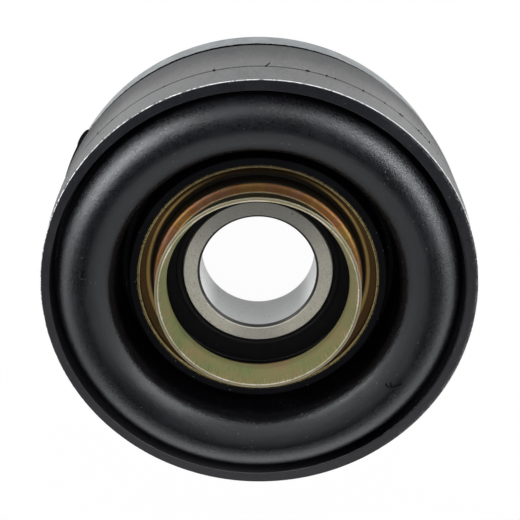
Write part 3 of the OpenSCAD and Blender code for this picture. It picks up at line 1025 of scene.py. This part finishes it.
# %% Turn the cushion
REAR_R = 53.95
REAR_Z = 9.8
GROOVE_Z = 34.5
GROOVE_BEND = 0.35 * (RIM_IN - GROOVE_IN)
ROLL_TOP = ROLL_AT[1] + ROLL_R
VALLEY_OUT = ROLL_AT[0] - ROLL_R
VALLEY_BEND = 0.4 * (VALLEY_OUT - COLLAR_R)
LAP_R = 30.55
LAP_Z = 36.52
SLEEVE_R = 32.0
SLEEVE_BASE = 10.9
SLEEVE_TOP = 35.5
FOOT_R = 33.6
FOOT_Z = 10.2
HOLLOW_IN = 39.85
HOLLOW_OUT = 46.45
HOLLOW_TOP = 43.0
CASE_IN = 50.9
# the hollow opens at 45 degrees from these heights up
INNER_SLOPE_Z = 21.435
OUTER_SLOPE_Z = 28.735
SLOPE_BEND = 2
# two rounds that meet keep a hair of straight between them
HAIR = 0.001
ROLL_BEND = ROLL_R - HAIR
HOLLOW_BEND = (HOLLOW_OUT - HOLLOW_IN) / 2 - HAIR
cushion_corners = [
    (REAR_R, REAR_Z, 0.15),
    (REAR_R, SKIN_Z, 0.05),
    (SKIN_R, SKIN_Z, 0.3),
    (SKIN_R, PARTING_Z - 0.7, 0.1),
    (SKIN_R - 0.28, PARTING_Z - 0.15, 0.1),
    (SKIN_R - 0.02, PARTING_Z + 0.1, 0.1),
    (RIM_R + 0.015, RIM_Z - 0.26, 0.06),
    (RIM_R - 0.18, RIM_Z, 0.06),
    (RIM_IN, RIM_Z, 0.35),
    (RIM_IN, GROOVE_Z, GROOVE_BEND),
    (GROOVE_IN, GROOVE_Z, GROOVE_BEND),
    (GROOVE_IN, ROLL_TOP, ROLL_BEND),
    (VALLEY_OUT, ROLL_TOP, ROLL_BEND),
    (VALLEY_OUT, VALLEY_Z, VALLEY_BEND),
    (COLLAR_R, VALLEY_Z, VALLEY_BEND),
    (COLLAR_R, COLLAR_Z, 0.5),
    (LAP_R, COLLAR_Z, 0.15),
    (LAP_R, LAP_Z, 0),
    (SLEEVE_IN, LAP_Z, 0),
    (SLEEVE_IN, SLEEVE_TOP, 0),
    (SLEEVE_R, SLEEVE_TOP, 0),
    (SLEEVE_R, SLEEVE_BASE, 0),
    (SLEEVE_IN, SLEEVE_BASE, 0),
    (SLEEVE_IN, FOOT_Z, 0.2),
    (FOOT_R, FOOT_Z, 0.35),
    (FOOT_R, INNER_SLOPE_Z, SLOPE_BEND),
    (HOLLOW_IN, INNER_SLOPE_Z + HOLLOW_IN - FOOT_R, SLOPE_BEND),
    (HOLLOW_IN, HOLLOW_TOP, HOLLOW_BEND),
    (HOLLOW_OUT, HOLLOW_TOP, HOLLOW_BEND),
    (HOLLOW_OUT, OUTER_SLOPE_Z + CASE_IN - HOLLOW_OUT, SLOPE_BEND),
    (CASE_IN, OUTER_SLOPE_Z, SLOPE_BEND),
    (CASE_IN, SKIN_Z, 0.35),
    (BAND_IN, SKIN_Z, 0),
    (BAND_IN, BAND_TOP, 0),
    (BAND_R, BAND_TOP, 0),
    (BAND_R, REAR_Z, 0),
]
cushion = turned("moulded_cushion", rounded_outline(cushion_corners), moulded_rubber, steps=336,
                 uneven_mm=0.03, patch_mm=9.0, seed=3.0)
off_centre(cushion)
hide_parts("rubber_cushion")
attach(cushion, "housing")

# %% [markdown]
# ### Tab, flash and flow marks
# A rounded tab of rubber runs back over the lip at the upper left, and thin flash trails from it. The
# rear edge of the skin is ragged: a black ring of flash without gloss, which also stands as painted shade
# for the gap behind it. Where the rubber met itself in the mould, short curved flow lines are left on the
# roll, and the parting line has nicks. A bump map could draw them, but would leave the outline smooth, so
# each is a small real piece.

# %% Lay out the marks
TAB_AT = 149.2
TEAR_AT = 88.5


def on_roll(degrees, climb):
    """A spot on the roll: round the axis, then up round the roll's own section."""
    angle = math.radians(climb)
    return round_spot(degrees, ROLL_AT[0] + ROLL_R * math.cos(angle), ROLL_AT[1] + ROLL_R * math.sin(angle))


strip_path = [round_spot(TAB_AT + 0.5 * k, LIP_R + 0.42 - 0.016 * k, BAND_BASE) for k in range(23)]
tear_path = [round_spot(TEAR_AT - 0.28 * k, SKIN_R, PARTING_Z - 0.2 - 0.8 * k, RING_OFF) for k in range(5)]
# flow marks: degrees round the axis, then degrees up the roll
long_mark = [(323.4, 113), (322.9, 109), (322.9, 105), (323.4, 101), (324.3, 96), (325.4, 92), (326.5, 88)]
short_mark = [(324.8, 107), (324.2, 104), (323.9, 101), (324.2, 97)]
left_mark = [(171.4, 85), (172.2, 84), (173.0, 84.5), (173.5, 87), (173.6, 90), (173.4, 94), (173.2, 97)]
left_spots = [on_roll(172.0, 88), on_roll(172.5, 87), on_roll(170.7, 90)]
nick_angles = [36.7, 40.6, 42.3, 43.8, 44.8, 45.7, 50.6, 51.3, 56.4, 62.8, 70.6, 88.4, 114.8, 131.0, 136.2]
nick_spots = [round_spot(angle, SKIN_R - 0.03, PARTING_Z - 0.2, RING_OFF) for angle in nick_angles]
nick_spots.append(round_spot(142.4, SKIN_R + 0.05, SKIN_Z + 0.2, RING_OFF))
blot_spots = [round_spot(angle, SKIN_R - 0.1, PARTING_Z - 0.4, RING_OFF) for angle in (72.8, 77.8, 101.5)]
rim_spots = [round_spot(angle, BRIM_R - 0.55, COLLAR_Z - 0.55) for angle in (138.2, 139.0, 140.1)]
print("nicks and blots on the skin:", len(nick_spots) + len(blot_spots))

# %% Mould the small rubber pieces
BEAD_IN = 53.6
BEAD_R = 54.3
BEAD_BASE = 8.2
BEAD_TOP = 11.9
TAB_Z = 6.2
TAB_REACH = (1.05, 2.9, 4.3)

bead_corners = [
    (BEAD_IN, BEAD_BASE, 0.1),
    (BEAD_R, BEAD_BASE + 0.2, 0.15),
    (BEAD_R, BEAD_TOP, 0.1),
    (BEAD_IN, BEAD_TOP, 0.1),
]
# a ragged black ring of flash along the skin's rear edge, which is also painted shade for the gap there
skin_flash_and_gap_shade = turned("skin_flash_and_gap_shade", rounded_outline(bead_corners), rubber_flash, steps=900,
                    uneven_mm=0.16, patch_mm=0.8, seed=5.0)
off_centre(skin_flash_and_gap_shade)
long_path = [on_roll(*spot) for spot in long_mark]
short_path = [on_roll(*spot) for spot in short_mark]
left_path = [on_roll(*spot) for spot in left_mark]
small_pieces = [
    skin_flash_and_gap_shade,
    lump("moulding_tab", TAB_AT, LIP_R, TAB_Z, TAB_REACH, rubber_flash),
    ridge("flash_strip", strip_path, thick_mm=0.42, finish=rubber_flash),
    ridge("skin_tear", tear_path, thick_mm=0.13, finish=rubber_flash),
    ridge("flow_mark_long", long_path, thick_mm=0.16, finish=rubber_flash),
    ridge("flow_mark_short", short_path, thick_mm=0.14, finish=rubber_flash),
    ridge("flow_mark_left", left_path, thick_mm=0.14, finish=moulded_rubber),
    nicks("flow_mark_pit", left_spots, size_mm=0.4, seed=7, finish=rubber_flash),
    nicks("parting_nicks", nick_spots, size_mm=0.24, seed=4, finish=rubber_flash),
    nicks("parting_blots", blot_spots, size_mm=0.5, seed=9, finish=rubber_flash),
    nicks("rim_nicks", rim_spots, size_mm=0.22, seed=6, finish=rubber_flash),
]
for piece in small_pieces:
    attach(piece, "housing")
print("small rubber pieces:", [piece.name for piece in small_pieces])

# %% [markdown]
# ## Pressed shields
# Two pressed steel shields sit in the sleeve, one at each face of the bearing. Each is a single sheet
# that dips to a trough, climbs to a shoulder and opens into a flared mouth. A spun line with Solidify could
# make it, but its bends would be sharp. Here a mid-sheet path and a thickness give a rounded outline, and
# the rear one is the same outline, mirrored.

# %% Turn both shields
SHEET_T = 1.0
SHEET_BEND = 0.8
SHEET_EDGE = 0.12
BRIM_FOOT_H = 3.4
TROUGH_R = 27.993
TROUGH_H = 0.5
shield_path = [
    (BRIM_R, BRIM_H),
    (BRIM_R, BRIM_FOOT_H),
    (TROUGH_R, TROUGH_H),
    (WALL_R, TROUGH_H),
    (WALL_R, SHOULDER_H),
    (FLARE_FROM[0], SHOULDER_H),
    FLARE_FROM,
    FLARE_TO,
]
front_path = [(r, MID_Z + HALF_W + h) for r, h in shield_path]
front_outline = sheet_outline(front_path, SHEET_T, SHEET_BEND, SHEET_EDGE)
for side, outline in (("front", front_outline), ("rear", mirrored(front_outline, MID_Z))):
    shield = turned(f"pressed_{side}_shield", outline, yellow_plating, 288)
    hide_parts(f"{side}_shield")
    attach(shield, "housing")

# %% [markdown]
# ## Bearing
# The ball bearing in the middle is a deep-groove one with a seal in each face. The inner ring turns;
# its ground face and bore are the brightest things here. The seals are thin rings with two low ridges.
# The packed solids could stay here too, but their edges are the ones that show most, so they are turned
# again with small rounds.

# %% Turn the inner ring
RACE_R = 4.9625
RACE_AT = 23.14
SHOULDER_R = 20.0775
LAND_R = 19.1275
LAND_W = 1.6


def race_corners(steps=20):
    """The groove that the balls run in, from the front shoulder to the rear one."""
    half = math.acos((RACE_AT - SHOULDER_R) / RACE_R)
    corners = []
    for k in range(steps + 1):
        angle = math.pi - half + 2 * half * k / steps
        corners.append((RACE_AT + RACE_R * math.cos(angle), MID_Z + RACE_R * math.sin(angle), 0))
    return corners


front_z = MID_Z + HALF_W
rear_z = MID_Z - HALF_W
inner_corners = [
    (BORE_R, rear_z + CHAMFER, 0.12),
    (BORE_R, front_z - CHAMFER, 0.12),
    (CHAMFER_R, front_z, 0.12),
    (LAND_R, front_z, 0.18),
    (LAND_R, front_z - LAND_W, 0.05),
    (SHOULDER_R, front_z - LAND_W, 0.05),
    *race_corners(),
    (SHOULDER_R, rear_z + LAND_W, 0.05),
    (LAND_R, rear_z + LAND_W, 0.05),
    (LAND_R, rear_z, 0.18),
    (CHAMFER_R, rear_z, 0.12),
]
inner_ring = turned("ground_inner_ring", rounded_outline(inner_corners), ground_steel, 288)
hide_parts("bearing_inner_ring")
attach(inner_ring, "inner_race")

# %% Turn the seals
SEAL_IN = 19.3275
SEAL_OUT = 27.0225
SEAL_TOP = front_z - 0.4
SEAL_BACK = SEAL_TOP - 1.0
RIDGE_H = 0.2
RIDGES = [(20.1275, 20.9275), (25.4225, 26.2225)]
seal_corners = [(SEAL_OUT, SEAL_BACK, 0.1), (SEAL_IN, SEAL_BACK, 0.1), (SEAL_IN, SEAL_TOP, 0.2)]
for ridge_in, ridge_out in RIDGES:
    seal_corners.append((ridge_in, SEAL_TOP, 0.1))
    seal_corners.append((ridge_in, SEAL_TOP + RIDGE_H, 0.1))
    seal_corners.append((ridge_out, SEAL_TOP + RIDGE_H, 0.1))
    seal_corners.append((ridge_out, SEAL_TOP, 0.1))
seal_corners.append((SEAL_OUT, SEAL_TOP, 0.1))
seal_outline = rounded_outline(seal_corners)
for side, outline in (("front", seal_outline), ("rear", mirrored(seal_outline, MID_Z))):
    seal = turned(f"lipped_{side}_seal", outline, seal_rubber, 256)
    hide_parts(f"{side}_seal")
    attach(seal, "housing")

# %% [markdown]
# ## Solids that stay
# The balls, the riveted ribbon cage, the bearing's outer ring and the sleeve are right as they are.
# They could be built again, but hardly any of them shows, so they keep their packed meshes and only get
# a finish.

# %% Paint the packed solids
def paint(node, finish):
    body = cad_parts[node].data
    body.materials.clear()
    body.materials.append(finish)


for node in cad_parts:
    if node.startswith("ball_"):
        paint(node, ball_steel)
    elif node.startswith("cage_"):
        paint(node, cage_steel)
    elif node == "bearing_outer_ring":
        paint(node, ground_steel)
    else:
        paint(node, bare_steel)
print("painted", len(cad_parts), "packed solids")

# %% [markdown]
# ## Studio
# A white sweep under soft light. A picture of a studio could light it, but softboxes put each highlight
# where it is wanted. The floor shows as plain white, takes a faint shadow and is what the steel reflects.
# Softboxes stand above the picture (+Y), at the sides and below; two near, brighter ones put the long
# highlights on the roll. A box overhead only fills: reflections do not see it.

# %% Floor, world and softboxes
FLOOR_SIZE = 6.0
WORLD_LEVEL = 0.06
FLOOR_GLOW = 0.97
FLOOR_Z = -0.05 * MM
floor_mesh = bpy.data.meshes.new("floor")
half = FLOOR_SIZE / 2
flat_corners = [(-half, -half), (half, -half), (half, half), (-half, half)]
floor_mesh.from_pydata([(x, y, FLOOR_Z) for x, y in flat_corners], [], [(0, 1, 2, 3)])
floor = bpy.data.objects.new("floor", floor_mesh)
bpy.context.scene.collection.objects.link(floor)


def seen_directly(bench):
    """1 for the camera, for reflections and for what is seen through glass."""
    path = bench.node("ShaderNodeLightPath", out="Is Camera Ray")
    either = bench.maths("MAXIMUM", path, path.other("Is Glossy Ray"))
    return bench.maths("MAXIMUM", either, path.other("Is Transmission Ray"))


def paint_floor():
    made = bpy.data.materials.new("white sweep")
    made.use_nodes = True
    made.node_tree.nodes.clear()
    bench = Bench(made.node_tree)
    matt = bench.node("ShaderNodeBsdfDiffuse", sockets={"Color": (0.92, 0.92, 0.92, 1)})
    glow = bench.node("ShaderNodeEmission", sockets={"Color": (1, 1, 1, 1), "Strength": 1.0})
    share = seen_directly(bench) * FLOOR_GLOW
    mixed = bench.node("ShaderNodeMixShader", sockets={0: share, 1: matt, 2: glow})
    bench.node("ShaderNodeOutputMaterial", sockets={"Surface": mixed}, out=None)
    floor_mesh.materials.append(made)


def light_world():
    world = bpy.data.worlds.new("studio")
    world.use_nodes = True
    world.node_tree.nodes.clear()
    bench = Bench(world.node_tree)
    path = bench.node("ShaderNodeLightPath", out="Is Camera Ray")
    level = path * (1 - WORLD_LEVEL) + WORLD_LEVEL
    glow = bench.node("ShaderNodeBackground", sockets={"Color": (1, 1, 1, 1), "Strength": level})
    bench.node("ShaderNodeOutputWorld", sockets={"Surface": glow}, out=None)
    bpy.context.scene.world = world


# name, direction round the axis and height in degrees, width and height in metres, brightness
SOFTBOXES = [
    ("top", 92, 36, (0.50, 0.16), 2.9),
    ("below", -90, 18, (1.20, 0.44), 1.35),
    ("left", 193, 12, (0.60, 0.30), 1.6),
    ("right", -25, 14, (0.50, 0.30), 1.5),
]
# the same, then the spot in mm that a near box is aimed at and its distance
NEAR_BOXES = [
    ("upper left", 151, 32, (0.14, 0.050), 11.0, (-33, 33, 46), 0.14),
    ("upper right", 26, 34, (0.24, 0.064), 9.0, (37, 28, 46), 0.20),
]
FILL_BOX = ("overhead", 90, 84, (0.6, 0.6), 1.8)


def hang_softbox(name, around, height, size, level, aim_mm=(0, 0, 30), away=0.7):
    around = math.radians(around)
    height = math.radians(height)
    aim = Vector(aim_mm) * MM
    level_part = math.cos(height)
    out = Vector((level_part * math.cos(around), level_part * math.sin(around), math.sin(height)))
    lamp = bpy.data.lights.new(f"softbox {name}", "AREA")
    lamp.shape = "RECTANGLE"
    lamp.size, lamp.size_y = size
    lamp.energy = level * math.pi * size[0] * size[1]
    holder = bpy.data.objects.new(f"softbox {name}", lamp)
    bpy.context.scene.collection.objects.link(holder)
    holder.location = aim + out * away
    holder.rotation_euler = (-out).to_track_quat("-Z", "Y").to_euler()
    holder.visible_camera = False
    return holder


paint_floor()
light_world()
for softbox in SOFTBOXES + NEAR_BOXES:
    hang_softbox(*softbox)
overhead = hang_softbox(*FILL_BOX)
overhead.visible_glossy = False
print("softboxes:", len(SOFTBOXES) + len(NEAR_BOXES) + 1)
